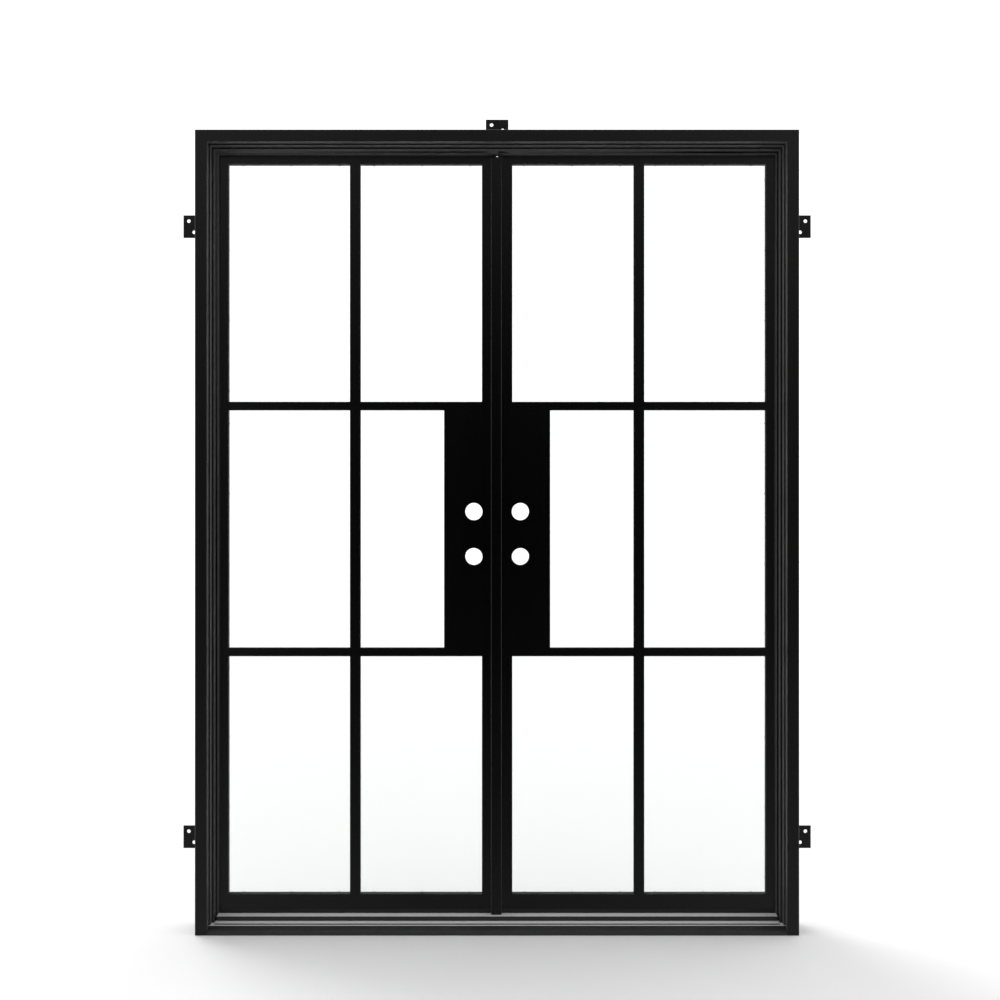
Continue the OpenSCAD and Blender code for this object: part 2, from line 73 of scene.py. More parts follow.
class Value:
    """A node's output that can be used in an expression, which adds the Math nodes it needs."""

    def __init__(self, graph: "Graph", node: bpy.types.Node, output: Union[int, str] = 0) -> None:
        """Wrap one output of a node.

        Args:
            graph: The tree that the node is in.
            node: The node.
            output: Its output's number or name.
        """
        self.graph = graph
        self.node = node
        self.socket = node.outputs[output]

    def out(self, name: str) -> "Value":
        """Return another output of the same node."""
        return Value(self.graph, self.node, name)

    def _math(self, operation: str, first: "Input", second: "Input") -> "Value":
        """Return the result of one Math node."""
        return self.graph.node("ShaderNodeMath", {"operation": operation}, {0: first, 1: second})

    def __add__(self, other: "Input") -> "Value":
        """Return self + other."""
        return self._math("ADD", self, other)

    __radd__ = __add__

    def __sub__(self, other: "Input") -> "Value":
        """Return self - other."""
        return self._math("SUBTRACT", self, other)

    def __rsub__(self, other: "Input") -> "Value":
        """Return other - self."""
        return self._math("SUBTRACT", other, self)

    def __mul__(self, other: "Input") -> "Value":
        """Return self * other."""
        return self._math("MULTIPLY", self, other)

    __rmul__ = __mul__

    def __pow__(self, other: "Input") -> "Value":
        """Return self raised to other."""
        return self._math("POWER", self, other)

    def __gt__(self, other: "Input") -> "Value":
        """Return 1 where self is above other, and 0 elsewhere."""
        return self._math("GREATER_THAN", self, other)


Input = Union[Value, Number, Sequence[float]]


class Graph:
    """The node tree of one material or world, built from nothing."""

    def __init__(self, tree: bpy.types.NodeTree) -> None:
        """Empty the tree."""
        self.tree = tree
        tree.nodes.clear()

    def node(self, kind: str, settings: Optional[Dict[str, object]] = None,
             sockets: Optional[Dict[Union[int, str], Input]] = None) -> Value:
        """Add a node.

        Args:
            kind: The node's type, such as ShaderNodeTexNoise.
            settings: Its own settings, and a ramp's stops as [(place, colour), ...].
            sockets: Numbers, colours or links for its inputs.

        Returns:
            Its first output.
        """
        made = self.tree.nodes.new(kind)
        for name, value in (settings or {}).items():
            if name == "stops":
                self._set_stops(made.color_ramp, value)
            else:
                setattr(made, name, value)
        for name, value in (sockets or {}).items():
            if isinstance(value, Value):
                self.tree.links.new(value.socket, made.inputs[name])
            else:
                made.inputs[name].default_value = value
        return Value(self, made)

    @staticmethod
    def _set_stops(ramp: bpy.types.ColorRamp, stops: Sequence[Tuple[float, Colour]]) -> None:
        """Give a colour ramp its stops.

        Args:
            ramp: The ramp, which has two stops when it is new.
            stops: Each stop's place from 0 to 1, and its colour.
        """
        while len(ramp.elements) < len(stops):
            ramp.elements.new(1.0)
        for element, (place, colour) in zip(ramp.elements, stops):
            element.position = place
            element.color = colour

    def place(self, scale: Point = (1.0, 1.0, 1.0)) -> Value:
        """Return the object's own coordinates, stretched by scale."""
        coords = self.node("ShaderNodeTexCoord").out("Object")
        return self.node("ShaderNodeMapping", {}, {"Vector": coords, "Scale": scale})

    def noise(self, vector: Value, scale: float, detail: float = 2.0, rough: float = 0.5) -> Value:
        """Return a noise from 0 to 1 over the surface.

        Args:
            vector: Where on the surface it is read.
            scale: How many features lie along a metre.
            detail: How many finer layers it has.
            rough: How much each finer layer counts.

        Returns:
            The noise.
        """
        return self.node("ShaderNodeTexNoise", {}, {
            "Vector": vector, "Scale": scale, "Detail": detail, "Roughness": rough}).out("Fac")

    def mix(self, factor: Input, low: Input, high: Input) -> Value:
        """Blend two colours.

        Args:
            factor: The share of the way from low to high.
            low: The colour at 0.
            high: The colour at 1.

        Returns:
            The blended colour.
        """
        return self.node("ShaderNodeMix", {"data_type": "RGBA"},
                         {0: factor, 6: low, 7: high}).out("Result")

    def bump(self, height: Value, depth: float, strength: float) -> Value:
        """Raise a surface in shading only.

        Args:
            height: Where it is raised, from 0 to 1.
            depth: How far a height of 1 stands out, in metres.
            strength: How much of the effect shows.

        Returns:
            The surface's normal.
        """
        return self.node("ShaderNodeBump", {}, {
            "Height": height, "Distance": depth, "Strength": strength})

    def finish(self, kind: str, shader: Value) -> None:
        """Send a shader to the tree's output node, which is of the given kind."""
        self.tree.links.new(shader.socket, self.tree.nodes.new(kind).inputs["Surface"])


# ---------------------------------------------------------------- finishes


class Slot(Enum):
    """The record's material slots."""

    PAINT = "black_paint"
    SILL = "sill_aluminium"
    RUBBER = "seal_rubber"
    SPACER = "spacer_black"
    GLASS = "clear_glass"
    STEEL = "plated_steel"
    BRONZE = "bronze"


@dataclass(frozen=True)
class Finish:
    """A named finish. Each kind says how its surface looks in shade()."""

    name: str
    slot: Slot

    def shade(self, graph: Graph) -> Value:
        """Return the shader of this finish."""
        raise NotImplementedError

    def material(self) -> bpy.types.Material:
        """Make the finish's material, or find it if it has been made.

        Returns:
            The material.
        """
        found = bpy.data.materials.get(self.name)
        if found is not None and found.get("dressed"):
            return found
        made = bpy.data.materials.new(self.name)
        made.use_nodes = True
        graph = Graph(made.node_tree)
        graph.finish("ShaderNodeOutputMaterial", self.shade(graph))
        made["dressed"] = True
        return made

    def dress(self, piece: bpy.types.Object) -> None:
        """Give a piece this finish all over.

        Args:
            piece: The piece to dress.
        """
        piece.data.materials.clear()
        piece.data.materials.append(self.material())
        for face in piece.data.polygons:
            face.material_index = 0


@dataclass(frozen=True)
class PowderCoat(Finish):
    """Black powder coat: a smooth film with a faint orange peel and a little settled dust."""

    black: Colour = (0.0003, 0.0003, 0.0003, 1.0)
    faded: Colour = (0.0008, 0.0008, 0.0008, 1.0)
    film: Colour = (0.24, 0.24, 0.24, 1.0)
    film_share: float = 0.8
    gloss_low: float = 0.13
    gloss_range: float = 0.06
    slant_blur: float = 0.36
    peel_size: float = 260.0
    peel_depth: float = 0.00006
    peel_strength: float = 0.25
    grit_finer: float = 4.5
    grit_share: float = 0.18
    wipe_stretch: Point = (14.0, 14.0, 2.0)
    dust_size: float = 900.0
    dust_above: float = 0.74
    dust_tone: float = 0.25
    dust_blur: float = 0.05

    def shade(self, graph: Graph) -> Value:
        """Build the paint's shader.

        Args:
            graph: The tree to build it in.

        Returns:
            The shader.
        """
        place = graph.place()
        cloud = graph.noise(place, 5.0, 4.0)
        wipe = graph.noise(graph.place(self.wipe_stretch), 1.6, 5.0, 0.65)
        dust = graph.noise(place, self.dust_size, 1.0) > self.dust_above
        peel = graph.noise(place, self.peel_size, 1.5)
        grit = graph.noise(place, self.peel_size * self.grit_finer, 1.0)
        colour = graph.mix(cloud * 0.7 + dust * self.dust_tone, self.black, self.faded)
        slant = graph.node("ShaderNodeLayerWeight", {}, {"Blend": 0.5}).out("Facing")
        paint = graph.node("ShaderNodeBsdfPrincipled", {}, {
            "Base Color": colour,
            "Roughness": (self.gloss_low + wipe * self.gloss_range + dust * self.dust_blur
                          + slant ** 3.0 * self.slant_blur),
            "IOR": 1.5,
            "Normal": graph.bump(peel + grit * self.grit_share, self.peel_depth,
                                 self.peel_strength)})
        film = graph.node("ShaderNodeBsdfPrincipled", {}, {
            "Base Color": self.film, "Roughness": 0.6, "Specular IOR Level": 0.2})
        return graph.node("ShaderNodeMixShader", {}, {
            0: slant ** 4.0 * (self.film_share * 0.8 + cloud * self.film_share * 0.4),
            1: paint, 2: film})


@dataclass(frozen=True)
class MillAluminium(Finish):
    """Extruded aluminium, drawn along the sill and scuffed by feet."""

    pale: Colour = (0.93, 0.93, 0.93, 1.0)
    grey: Colour = (0.70, 0.70, 0.705, 1.0)
    metal: float = 0.1
    drawn_stretch: Point = (9.0, 900.0, 900.0)
    fleck_stretch: Point = (160.0, 700.0, 700.0)
    stain_stretch: Point = (3.0, 9.0, 9.0)
    scuff_stretch: Point = (40.0, 12.0, 40.0)
    scuff_above: float = 0.63
    relief: float = 0.00009

    def shade(self, graph: Graph) -> Value:
        """Build the sill's shader.

        Args:
            graph: The tree to build it in.

        Returns:
            The shader.
        """
        drawn = graph.noise(graph.place(self.drawn_stretch), 1.0, 4.0, 0.7)
        fleck = graph.noise(graph.place(self.fleck_stretch), 1.0, 2.0, 0.6)
        stain = graph.noise(graph.place(self.stain_stretch), 1.6, 5.0, 0.6)
        scuff = graph.noise(graph.place(self.scuff_stretch), 2.0, 6.0, 0.75) > self.scuff_above
        colour = graph.mix(drawn * 0.45 + fleck * 0.45 + stain * 0.35 - 0.12, self.grey, self.pale)
        return graph.node("ShaderNodeBsdfPrincipled", {}, {
            "Base Color": colour,
            "Metallic": self.metal,
            "Roughness": 0.42 + stain * 0.16 + fleck * 0.12 + scuff * 0.07,
            "Normal": graph.bump(drawn * 0.6 + fleck * 0.5, self.relief, 0.7)})


@dataclass(frozen=True)
class SealRubber(Finish):
    """Matt black rubber with a fine moulded grain."""

    black: Colour = (0.0055, 0.0055, 0.0058, 1.0)
    dusty: Colour = (0.013, 0.013, 0.013, 1.0)
    grain_size: float = 1400.0
    grain_depth: float = 0.00005

    def shade(self, graph: Graph) -> Value:
        """Build the rubber's shader.

        Args:
            graph: The tree to build it in.

        Returns:
            The shader.
        """
        place = graph.place()
        grain = graph.noise(place, self.grain_size, 2.0)
        bloom = graph.noise(place, 22.0, 4.0)
        return graph.node("ShaderNodeBsdfPrincipled", {}, {
            "Base Color": graph.mix(bloom * 0.8, self.black, self.dusty),
            "Roughness": 0.62 + bloom * 0.2,
            "Normal": graph.bump(grain, self.grain_depth, 0.6)})


@dataclass(frozen=True)
class SpacerBar(Finish):
    """Black warm-edge spacer with small breathing holes and a matt face."""

    black: Colour = (0.008, 0.008, 0.008, 1.0)
    grey: Colour = (0.016, 0.016, 0.017, 1.0)
    holes_per_metre: float = 420.0
    hole_depth: float = 0.0001
    sheen: float = 0.08

    def shade(self, graph: Graph) -> Value:
        """Build the spacer's shader.

        Args:
            graph: The tree to build it in.

        Returns:
            The shader.
        """
        holes = graph.node("ShaderNodeTexVoronoi", {"feature": "F1"}, {
            "Vector": graph.place(), "Scale": self.holes_per_metre}).out("Distance")
        tone = graph.noise(graph.place(), 60.0, 3.0)
        return graph.node("ShaderNodeBsdfPrincipled", {}, {
            "Base Color": graph.mix(tone, self.black, self.grey),
            "Roughness": 0.75 + tone * 0.2,
            "Specular IOR Level": self.sheen,
            "Normal": graph.bump(holes, self.hole_depth, 0.4)})


@dataclass(frozen=True)
class FloatGlass(Finish):
    """Clear float glass: it shows what is behind it, mirrors more at a slant, and greens a little."""

    tint: Colour = (0.988, 0.992, 0.990, 1.0)
    ior: float = 1.5
    mirror_share: float = 0.8
    smear_stretch: Point = (3.0, 3.0, 1.2)
    blur_low: float = 0.005
    blur_range: float = 0.008

    def shade(self, graph: Graph) -> Value:
        """Build the glass shader.

        Args:
            graph: The tree to build it in.

        Returns:
            The shader.
        """
        smear = graph.noise(graph.place(self.smear_stretch), 3.0, 6.0, 0.7)
        mirror = graph.node("ShaderNodeBsdfGlossy", {}, {
            "Color": WHITE, "Roughness": self.blur_low + smear * self.blur_range})
        clear = graph.node("ShaderNodeBsdfTransparent", {}, {"Color": self.tint})
        slant = graph.node("ShaderNodeFresnel", {}, {"IOR": self.ior})
        return graph.node("ShaderNodeMixShader", {}, {
            0: slant * self.mirror_share, 1: clear, 2: mirror})


@dataclass(frozen=True)
class ZincPlate(Finish):
    """Bright zinc plating with a soft spangle."""

    bright: Colour = (0.56, 0.57, 0.58, 1.0)
    dull: Colour = (0.34, 0.35, 0.36, 1.0)
    spangles_per_metre: float = 260.0
    relief: float = 0.00008

    def shade(self, graph: Graph) -> Value:
        """Build the plated steel's shader.

        Args:
            graph: The tree to build it in.

        Returns:
            The shader.
        """
        spangle = graph.node("ShaderNodeTexVoronoi", {"feature": "F1"}, {
            "Vector": graph.place(), "Scale": self.spangles_per_metre}).out("Color")
        tone = graph.noise(graph.place(), 90.0, 3.0)
        return graph.node("ShaderNodeBsdfPrincipled", {}, {
            "Base Color": graph.mix(graph.node("ShaderNodeRGBToBW", {}, {0: spangle}) * 0.6
                                    + tone * 0.3, self.dull, self.bright),
            "Metallic": 1.0,
            "Roughness": 0.26 + tone * 0.2,
            "Normal": graph.bump(tone, self.relief, 0.4)})


@dataclass(frozen=True)
class BearingBronze(Finish):
    """Turned bronze, a little dulled by grease."""

    clean: Colour = (0.55, 0.33, 0.13, 1.0)
    greasy: Colour = (0.24, 0.13, 0.05, 1.0)
    ring_stretch: Point = (30.0, 30.0, 3000.0)
    ring_depth: float = 0.00006

    def shade(self, graph: Graph) -> Value:
        """Build the bronze's shader.

        Args:
            graph: The tree to build it in.

        Returns:
            The shader.
        """
        rings = graph.noise(graph.place(self.ring_stretch), 1.0, 2.0)
        grease = graph.noise(graph.place(), 130.0, 3.0)
        return graph.node("ShaderNodeBsdfPrincipled", {}, {
            "Base Color": graph.mix(grease, self.clean, self.greasy),
            "Metallic": 1.0,
            "Roughness": 0.28 + grease * 0.25,
            "Normal": graph.bump(rings, self.ring_depth, 0.5)})


@dataclass(frozen=True)
class StudioPaper(Finish):
    """The seamless pale paper that the doors stand on, with a painted glow that rises with distance from
    the doors.
    """

    white: float = 0.955
    fibre_tone: float = 0.01
    painted_glow: float = 0.12
    painted_glow_from: float = 1.0
    painted_glow_to: float = 8.0

    def shade(self, graph: Graph) -> Value:
        """Build the paper's shader.

        Args:
            graph: The tree to build it in.

        Returns:
            The shader.
        """
        place = graph.place()
        fibre = graph.noise(place, 3.0, 4.0)
        far = graph.node("ShaderNodeVectorMath", {"operation": "LENGTH"}, {0: place}).out("Value")
        sweep = graph.node("ShaderNodeMapRange", {"interpolation_type": "SMOOTHSTEP"}, {
            "Value": far, "From Min": self.painted_glow_from, "From Max": self.painted_glow_to})
        low = (self.white - self.fibre_tone,) * 3 + (1.0,)
        high = (self.white,) * 3 + (1.0,)
        # Painted glow: the paper gives off a little light of its own, more the further it lies from the
        # middle under the doors, so its far part fades into the white.
        return graph.node("ShaderNodeBsdfPrincipled", {}, {
            "Base Color": graph.mix(fibre, low, high), "Roughness": 0.9,
            "Specular IOR Level": 0.0, "Emission Strength": self.painted_glow,
            "Emission Color": graph.mix(sweep, BLACK, WHITE)})


PAINT = PowderCoat("powder_coat", Slot.PAINT)
# Painted light: the sill's up-facing faces get this pale copy of the aluminium, lighter than the dark
# rest of the sill to stand in for the light on them.
LIT_TREAD_METAL = MillAluminium("tread_aluminium_painted_light", Slot.SILL)
SILL_METAL = MillAluminium("dark_aluminium", Slot.SILL, pale=(0.036, 0.036, 0.037, 1.0),
                           grey=(0.014, 0.014, 0.015, 1.0), metal=0.35)
RUBBER = SealRubber("seal_rubber_black", Slot.RUBBER)
SPACER = SpacerBar("warm_edge_spacer", Slot.SPACER)
GLASS = FloatGlass("float_glass", Slot.GLASS)
ZINC = ZincPlate("zinc_plate", Slot.STEEL)
BRONZE = BearingBronze("bearing_bronze", Slot.BRONZE)
PAPER = StudioPaper("studio_paper", Slot.PAINT)


# ---------------------------------------------------------------- bench tools


def deselect() -> None:
    """Leave nothing selected and nothing active."""
    if bpy.context.mode != "OBJECT":
        bpy.ops.object.mode_set(mode="OBJECT")
    bpy.ops.object.select_all(action="DESELECT")
    bpy.context.view_layer.objects.active = None


def hold(piece: bpy.types.Object) -> None:
    """Make one piece the only selected and active one.

    Args:
        piece: The piece to hold.
    """
    deselect()
    piece.select_set(True)
    bpy.context.view_layer.objects.active = piece


def settle(piece: bpy.types.Object) -> None:
    """Move a piece's place into its mesh, which leaves its object at the origin."""
    hold(piece)
    bpy.ops.object.transform_apply(location=True, rotation=True, scale=True)


def apply_modifier(piece: bpy.types.Object, kind: str, **settings: object) -> None:
    """Add a modifier and apply it.

    Args:
        piece: The piece to change.
        kind: The modifier's type.
        settings: The modifier's own settings.
    """
    modifier = piece.modifiers.new(kind.title(), kind)
    for name, value in settings.items():
        setattr(modifier, name, value)
    hold(piece)
    bpy.ops.object.modifier_apply(modifier=modifier.name)


def pick_edges(piece: bpy.types.Object, wanted: Callable[[Vector, Vector], bool]) -> int:
    """Go into edit mode with only the edges that are wanted selected.

    Args:
        piece: The piece to edit.
        wanted: A test on an edge's two ends.

    Returns:
        How many edges are selected.
    """
    hold(piece)
    bpy.ops.object.mode_set(mode="EDIT")
    bpy.ops.mesh.select_mode(type="EDGE")
    mesh = bmesh.from_edit_mesh(piece.data)
    count = 0
    for edge in mesh.edges:
        edge.select_set(False)
    for edge in mesh.edges:
        if wanted(edge.verts[0].co, edge.verts[1].co):
            edge.select_set(True)
            count += 1
    bmesh.update_edit_mesh(piece.data)
    return count


def round_edges(piece: bpy.types.Object, wanted: Callable[[Vector, Vector], bool],
                radius: float, steps: int = 3) -> None:
    """Round chosen edges.

    Args:
        piece: The piece to round.
        wanted: A test on an edge's two ends.
        radius: The rounding's radius.
        steps: How many flats make up the rounding.
    """
    if pick_edges(piece, wanted):
        bpy.ops.mesh.bevel(offset=radius, offset_type="OFFSET", segments=steps, profile=0.5,
                           clamp_overlap=True)
    bpy.ops.object.mode_set(mode="OBJECT")


def merge_faces(piece: bpy.types.Object) -> None:
    """Join a mesh's flat neighbours into whole faces.

    Args:
        piece: A piece that no drilled hole goes through.
    """
    hold(piece)
    bpy.ops.object.mode_set(mode="EDIT")
    bpy.ops.mesh.select_all(action="SELECT")
    bpy.ops.mesh.dissolve_limited(angle_limit=FLAT_ANGLE)
    bpy.ops.object.mode_set(mode="OBJECT")


def soften(piece: bpy.types.Object, radius: float, steps: int = 2) -> None:
    """Round every sharp edge a little, and shade the flats flat and the roundings smooth.

    Args:
        piece: The piece to soften.
        radius: The roundings' radius.
        steps: How many flats make up a rounding.
    """
    apply_modifier(piece, "BEVEL", width=radius, segments=steps, limit_method="ANGLE",
                   angle_limit=CORNER_ANGLE, use_clamp_overlap=False)
    hold(piece)
    bpy.ops.object.shade_smooth_by_angle(angle=SMOOTH_ANGLE)
    apply_modifier(piece, "WEIGHTED_NORMAL", keep_sharp=True, weight=90)


def copy_of(node: str, name: str, whole_faces: bool = False) -> bpy.types.Object:
    """Return a copy of a CAD node with its own mesh.

    Args:
        node: The CAD node.
        name: The copy's name.
        whole_faces: Whether to join its triangles into whole faces.

    Returns:
        The copy, with its loose triangles sewn together.
    """
    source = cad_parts[node]
    piece = bpy.data.objects.new(name, source.data.copy())
    bpy.context.scene.collection.objects.link(piece)
    hold(piece)
    bpy.ops.object.mode_set(mode="EDIT")
    bpy.ops.mesh.select_all(action="SELECT")
    bpy.ops.mesh.remove_doubles(threshold=SEW_GAP)
    bpy.ops.object.mode_set(mode="OBJECT")
    if whole_faces:
        merge_faces(piece)
    return piece


def plain(node: str) -> bool:
    """Tell whether a CAD node has no drilled holes."""
    return not any(word in node for word in ("lock_box", "meeting_stile", "tab", "strike", "knuckle"))


def weld_together(nodes: Sequence[str], name: str) -> bpy.types.Object:
    """Weld several CAD nodes together and grind them flush.

    Args:
        nodes: The CAD nodes.
        name: The new piece's name.

    Returns:
        The one piece that they make.
    """
    whole = copy_of(nodes[0], name, plain(nodes[0]))
    for node in nodes[1:]:
        other = copy_of(node, "part_being_welded", plain(node))
        apply_modifier(whole, "BOOLEAN", object=other, operation="UNION", solver="EXACT")
        bpy.data.objects.remove(other)
    return whole


def install(piece: bpy.types.Object, body: str, finish: Finish, nodes: Sequence[str] = ()) -> None:
    """Dress a finished piece, let it ride on its body, and hide the CAD nodes that it takes the place
    of.

    Args:
        piece: The piece.
        body: The body that it rides on.
        finish: Its finish.
        nodes: The CAD nodes that it takes the place of.
    """
    finish.dress(piece)
    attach(piece, body)
    if nodes:
        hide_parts(*nodes)
    LOG.info("%s: %d faces on %s", piece.name, len(piece.data.polygons), body)


def join(pieces: List[bpy.types.Object], name: str) -> bpy.types.Object:
    """Join several meshes into one piece.

    Args:
        pieces: The meshes, the first of which takes in the others.
        name: The joined piece's name.

    Returns:
        The joined piece.
    """
    deselect()
    for piece in pieces:
        piece.select_set(True)
    bpy.context.view_layer.objects.active = pieces[0]
    bpy.ops.object.join()
    pieces[0].name = name
    return pieces[0]


def copies_at(master: bpy.types.Object, places: Sequence[Point], name: str,
              turns: Optional[Sequence[Point]] = None) -> bpy.types.Object:
    """Return one piece made of a copy of master at each place; master itself is removed.

    Args:
        master: The modelled piece, centred on the origin.
        places: Where each copy goes.
        name: The new piece's name.
        turns: Each copy's rotation, as Euler angles.

    Returns:
        The new piece.
    """
    made = []
    for index, place in enumerate(places):
        copy = bpy.data.objects.new(f"{name}_{index}", master.data.copy())
        bpy.context.scene.collection.objects.link(copy)
        copy.location = place
        if turns:
            copy.rotation_euler = turns[index]
        made.append(copy)
    bpy.data.objects.remove(master)
    whole = join(made, name)
    settle(whole)
    return whole


# ---------------------------------------------------------------- sub-assemblies


@dataclass
class WeldBeads:
    """The rippled fillet welds that hold a tab or a hinge plate to the steel beside it."""

    size: float = 4.0 * MM
    pitch: float = 2.1 * MM
    flatness: float = 0.62
    wobble: float = 0.25 * MM
    wobble_step: float = 2.399

    def ripple(self) -> bpy.types.Object:
        """Model one ripple.

        Returns:
            A flattened drop, centred on the origin.
        """
        deselect()
        bpy.ops.mesh.primitive_uv_sphere_add(segments=10, ring_count=6, radius=self.size / 2)
        drop = bpy.context.active_object
        bpy.ops.object.mode_set(mode="EDIT")
        bpy.ops.transform.resize(value=(1.0, 1.0, self.flatness))
        bpy.ops.object.mode_set(mode="OBJECT")
        bpy.ops.object.shade_smooth()
        return drop

    def run(self, starts: Sequence[Point], ends: Sequence[Point], name: str) -> bpy.types.Object:
        """Weld along several straight seams.

        Args:
            starts: Where each seam starts.
            ends: Where each seam ends.
            name: The welds' name.

        Returns:
            All the welds as one piece.
        """
        places: List[Point] = []
        turns: List[Point] = []
        for start, end in zip(starts, ends):
            along = Vector(end) - Vector(start)
            count = max(2, int(along.length / self.pitch))
            turn = tuple(along.to_track_quat("Z", "Y").to_euler())
            for index in range(count + 1):
                wobble = self.wobble * math.sin(index * self.wobble_step)
                spot = Vector(start) + along * (index / count)
                places.append((spot.x + wobble, spot.y - wobble, spot.z))
                turns.append(turn)
        return copies_at(self.ripple(), places, name, turns)


@dataclass
class SteelFrame:
    """The jambs and head, welded at their mitres, and the tabs that fix them to the wall."""

    outer_radius: float = 2.6 * MM
    edge_radius: float = 0.7 * MM
    tab_radius: float = 0.8 * MM
    weld_inset: float = 3.0 * MM
    tabs: Tuple[str, ...] = ("left_upper_tab", "left_lower_tab", "right_upper_tab",
                             "right_lower_tab", "head_tab")

    def build(self) -> None:
        """Model and dress the frame."""
        nodes = ["left_jamb", "head", "right_jamb"]
        steel = weld_together(nodes, "frame_steel")
        low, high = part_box("head")

        def outermost(a: Vector, b: Vector) -> bool:
            """Test an edge of the frame.

            Args:
                a: One end.
                b: The other end.

            Returns:
                Whether it runs round the outside of the front or the back.
            """
            flat = abs(a.y - b.y) < TINY and min(abs(a.y - low.y), abs(a.y - high.y)) < TINY
            side = all(abs(abs(p.x) - high.x) < TINY for p in (a, b))
            top = all(abs(p.z - high.z) < TINY for p in (a, b))
            return flat and (side or top)

        round_edges(steel, outermost, self.outer_radius, 4)
        soften(steel, self.edge_radius)
        install(steel, "frame", PAINT, nodes)
        for node in self.tabs:
            tab = copy_of(node, f"{node}_plate")
            soften(tab, self.tab_radius)
            install(tab, "frame", PAINT, [node])
            self.weld(node)

    def weld(self, node: str) -> None:
        """Weld one tab to the frame along its front and back.

        Args:
            node: The tab's CAD node.
        """
        low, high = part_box(node)
        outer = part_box("head")[1]
        welder = WeldBeads()
        starts, ends = [], []
        for y in (low.y, high.y):
            if node == "head_tab":
                starts.append((low.x + self.weld_inset, y, outer.z))
                ends.append((high.x - self.weld_inset, y, outer.z))
            else:
                x = math.copysign(outer.x, low.x)
                starts.append((x, y, low.z + self.weld_inset))
                ends.append((x, y, high.z - self.weld_inset))
        install(welder.run(starts, ends, f"{node}_weld"), "frame", PAINT)


@dataclass
class Sill:
    """The two aluminium extrusions underfoot, and the strike plates of the flush bolts."""

    edge_radius: float = 0.6 * MM
    nose_radius: float = 1.6 * MM
    strike_radius: float = 0.35 * MM
    shortest_nose: float = 0.1

    def build(self) -> None:
        """Model and dress the sill."""
        base = copy_of("sill_base", "sill_extrusion", True)
        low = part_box("sill_base")[0]

        def nose(a: Vector, b: Vector) -> bool:
            """Test an edge of the sill.

            Args:
                a: One end.
                b: The other end.

            Returns:
                Whether it runs along the front, above the floor.
            """
            in_front = all(abs(p.y - low.y) < TINY and p.z > TINY for p in (a, b))
            return in_front and abs(a.x - b.x) > self.shortest_nose

        round_edges(base, nose, self.nose_radius, 4)
        soften(base, self.edge_radius)
        install(base, "frame", SILL_METAL, ["sill_base"])
        # Painted light on the treads: the faces that look up get the pale copy of the metal.
        self.paint_light_on_treads(base)
        cap = copy_of("sill_cap", "sill_weather_stop", True)
        soften(cap, self.edge_radius)
        install(cap, "frame", SILL_METAL, ["sill_cap"])
        self.paint_light_on_treads(cap)
        for node in ("head_strike", "sill_strike"):
            plate = copy_of(node, f"{node}_plate")
            soften(plate, self.strike_radius)
            install(plate, "frame", ZINC, [node])

    @staticmethod
    def paint_light_on_treads(piece: bpy.types.Object, level: float = 0.9) -> None:
        """Give the faces that look up a brighter metal: painted light, standing in for the light that
        falls on the treads.

        Args:
            piece: The extrusion.
            level: How squarely a face has to look up.
        """
        piece.data.materials.append(LIT_TREAD_METAL.material())
        for face in piece.data.polygons:
            if face.normal.z > level:
                face.material_index = 1


@dataclass
class WeatherSeals:
    """The rubber seals that the leaves close on, each with a rounded lip."""

    lip_radius: float = 1.5 * MM
    astragal_radius: float = 0.8 * MM
    sweep_radius: float = 1.2 * MM
    frame_seals: Tuple[str, ...] = ("left_jamb_seal", "right_jamb_seal", "head_seal", "sill_seal")

    def build(self) -> None:
        """Model and dress the seals."""
        for node in self.frame_seals:
            self.seal(node, "frame", self.lip_radius)
        self.seal("astragal_seal", "left_leaf", self.astragal_radius)
        self.seal("left_sweep", "left_leaf", self.sweep_radius)
        self.seal("right_sweep", "right_leaf", self.sweep_radius)

    def seal(self, node: str, body: str, radius: float) -> None:
        """Model one seal.

        Args:
            node: Its CAD node.
            body: The body that it rides on.
            radius: Its lip's radius.
        """
        strip = copy_of(node, f"{node}_strip", True)
        soften(strip, radius, 4)
        install(strip, body, RUBBER, [node])


class Side(Enum):
    """Which leaf, as seen from outside."""

    LEFT = "left"
    RIGHT = "right"


@dataclass
class BeadScrew:
    """A small pan-head screw with a cross recess, as a glazier drives through a bead."""

    head_radius: float = 1.9 * MM
    head_height: float = 1.2 * MM
    cross: float = 1.1 * MM
    crown: float = 0.8 * MM
    slot_width: float = 0.6 * MM
    slot_height: float = 1.2 * MM
    smooth_angle: float = math.radians(35.0)

    def build(self) -> bpy.types.Object:
        """Model one screw.

        Returns:
            Its head, on the origin and facing +Y.
        """
        deselect()
        bpy.ops.mesh.primitive_cylinder_add(vertices=16, radius=self.head_radius,
                                            depth=self.head_height,
                                            location=(0.0, 0.0, self.head_height / 2))
        head = bpy.context.active_object
        settle(head)
        pick_edges(head, lambda a, b: min(a.z, b.z) > self.head_height - TINY)
        bpy.ops.mesh.bevel(offset=self.crown, segments=3, profile=0.6)
        bpy.ops.object.mode_set(mode="OBJECT")
        for turn in (0.0, math.pi / 2):
            deselect()
            bpy.ops.mesh.primitive_cube_add(size=1.0, location=(0.0, 0.0, self.head_height),
                                            rotation=(0.0, 0.0, turn),
                                            scale=(2 * self.cross, self.slot_width,
                                                   self.slot_height))
            cutter = bpy.context.active_object
            settle(cutter)
            apply_modifier(head, "BOOLEAN", object=cutter, operation="DIFFERENCE", solver="EXACT")
            bpy.data.objects.remove(cutter)
        hold(head)
        bpy.ops.object.shade_smooth_by_angle(angle=self.smooth_angle)
        head.rotation_euler = (-math.pi / 2, 0.0, 0.0)
        settle(head)
        return head


